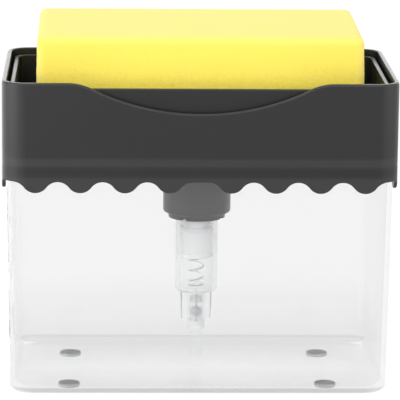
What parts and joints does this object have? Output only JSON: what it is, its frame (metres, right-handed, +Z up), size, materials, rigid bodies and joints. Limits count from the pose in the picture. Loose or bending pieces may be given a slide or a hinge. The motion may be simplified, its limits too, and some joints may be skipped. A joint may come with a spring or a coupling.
{
  "type": "soap pump caddy",
  "caption": "Countertop soap pump caddy: clear reservoir, dark lift-off cover with a finger dip and scalloped skirt, and a sprung tray that pumps soap into the sponge on it.",
  "frame": {"origin": "centre of the bounding box's bottom face, on the surface that the feet stand on, below the pump's axis", "axes": "+X to the right as seen from the front, along the long side; +Y from the front to the back, so the front faces -Y; +Z up, along the pump's axis"},
  "size_m": [0.135, 0.08, 0.1259],
  "materials": {
    "dark_plastic": "satin",
    "clear_plastic": "clear, polished",
    "milky_plastic": "translucent, smooth",
    "pump_plastic": "smooth",
    "seal": "matte",
    "pad": "matte",
    "spring_steel": "drawn wire",
    "foam": "open-cell foam"
  },
  "bodies": {
    "reservoir": {"reservoir": "clear_plastic", "foot_front_left": "pad", "foot_front_right": "pad", "foot_rear_left": "pad", "foot_rear_right": "pad"},
    "cover": {"cover": "dark_plastic", "pump_gasket": "seal", "lock_ring": "dark_plastic", "pump_housing": "milky_plastic", "stem_guide": "pump_plastic", "dip_tube": "milky_plastic", "ball_cage": "pump_plastic", "spring": "spring_steel"},
    "inlet_ball": {"inlet_ball": "spring_steel"},
    "pump_rod": {"stem": "pump_plastic", "piston": "seal", "piston_retainer": "pump_plastic"},
    "outlet_ball": {"outlet_ball": "spring_steel"},
    "press_plate": {"press_plate": "dark_plastic", "nozzle": "pump_plastic"},
    "sponge": {"sponge": "foam"}
  },
  "joints": [
    {"name": "cover_lift", "type": "slide", "parent": "reservoir", "child": "cover", "axis": [0, 0, 1], "range_m": [0, 0.085]},
    {"name": "plate_press", "type": "slide", "parent": "cover", "child": "pump_rod", "axis": [0, 0, -1], "range_m": [0, 0.01], "stiffness_N_per_m": 450, "springref_m": -0.012, "deforming": ["spring"]},
    {"name": "plate_lift", "type": "slide", "parent": "pump_rod", "child": "press_plate", "axis": [0, 0, 1], "range_m": [0, 0.03]},
    {"name": "sponge_lift", "type": "slide", "parent": "press_plate", "child": "sponge", "axis": [0, 0, 1], "range_m": [0, 0.06]},
    {"name": "inlet_ball_lift", "type": "slide", "parent": "cover", "child": "inlet_ball", "axis": [0, 0, 1], "range_m": [0, 0.0009]},
    {"name": "outlet_ball_lift", "type": "slide", "parent": "pump_rod", "child": "outlet_ball", "axis": [0, 0, 1], "range_m": [0, 0.0009]}
  ]
}
